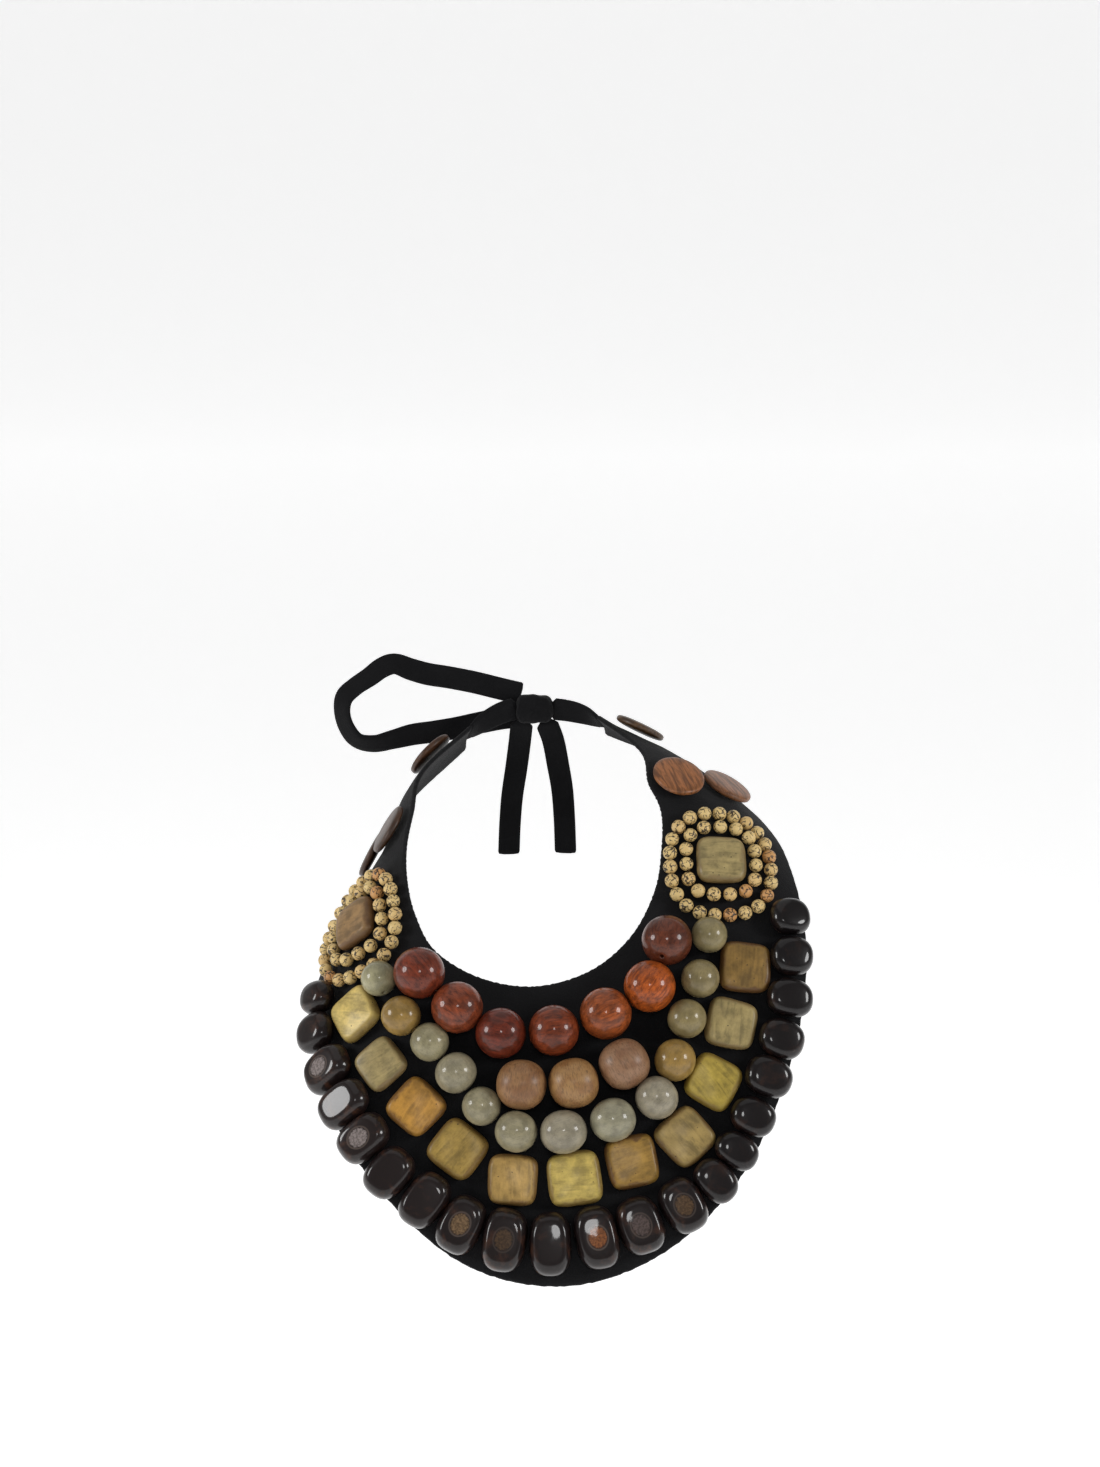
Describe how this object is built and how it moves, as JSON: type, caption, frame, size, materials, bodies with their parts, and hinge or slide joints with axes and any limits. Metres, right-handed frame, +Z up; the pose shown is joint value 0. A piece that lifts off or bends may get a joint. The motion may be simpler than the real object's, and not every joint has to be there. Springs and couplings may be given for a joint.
{
  "type": "beaded necklace",
  "caption": "Bib necklace: a curved black suede collar sewn with rows of wooden, horn and seed beads, shoulder rosettes and discs, tied with a ribbon at the nape.",
  "frame": {"origin": "middle of the opening for the neck, on the neck's axis at half the height between the front and the nape", "axes": "+Z up along the neck; the necklace faces -Y; +X is the viewer's right (the wearer's left)"},
  "size_m": [0.2161, 0.1875, 0.2298],
  "materials": {
    "suede": "matt black suede with a short nap",
    "ribbon": "matt black velvet ribbon",
    "rosewood": "glossy lacquered red-brown wood",
    "tanwood": "satin tan wood with fine grain",
    "grey_bead": "polished grey-beige",
    "horn_tile": "satin streaked horn, olive-yellow with brown edges",
    "dark_seed": "highly polished near-black seed with a brown heart",
    "speckled_bead": "satin cream seed with dark specks",
    "disc_wood": "satin brown wood"
  },
  "bodies": {
    "root": {"collar": "suede", "disc_left_1": "disc_wood", "disc_left_2": "disc_wood", "disc_left_3": "disc_wood", "disc_right_1": "disc_wood", "disc_right_2": "disc_wood", "disc_right_3": "disc_wood", "grey_bead_1": "grey_bead", "grey_bead_10": "grey_bead", "grey_bead_11": "grey_bead", "grey_bead_12": "grey_bead", "grey_bead_13": "grey_bead", "grey_bead_2": "grey_bead", "grey_bead_3": "grey_bead", "grey_bead_4": "grey_bead", "grey_bead_5": "grey_bead", "grey_bead_6": "grey_bead", "grey_bead_7": "grey_bead", "grey_bead_8": "grey_bead", "grey_bead_9": "grey_bead", "horn_tile_1": "horn_tile", "horn_tile_10": "horn_tile", "horn_tile_11": "horn_tile", "horn_tile_2": "horn_tile", "horn_tile_3": "horn_tile", "horn_tile_4": "horn_tile", "horn_tile_5": "horn_tile", "horn_tile_6": "horn_tile", "horn_tile_7": "horn_tile", "horn_tile_8": "horn_tile", "horn_tile_9": "horn_tile", "rosette_inner_ring_left": "speckled_bead", "rosette_inner_ring_right": "speckled_bead", "rosette_outer_ring_left": "speckled_bead", "rosette_outer_ring_right": "speckled_bead", "rosette_tile_left": "horn_tile", "rosette_tile_right": "horn_tile", "rosewood_bead_1": "rosewood", "rosewood_bead_2": "rosewood", "rosewood_bead_3": "rosewood", "rosewood_bead_4": "rosewood", "rosewood_bead_5": "rosewood", "rosewood_bead_6": "rosewood", "rosewood_bead_7": "rosewood", "seed_string_front": "dark_seed", "seed_string_left": "dark_seed", "seed_string_right": "dark_seed", "tanwood_bead_1": "tanwood", "tanwood_bead_2": "tanwood", "tanwood_bead_3": "tanwood", "tie_knot": "ribbon", "tie_left": "ribbon", "tie_loop": "ribbon", "tie_right": "ribbon", "tie_tail_left": "ribbon", "tie_tail_right": "ribbon"}
  },
  "joints": []
}
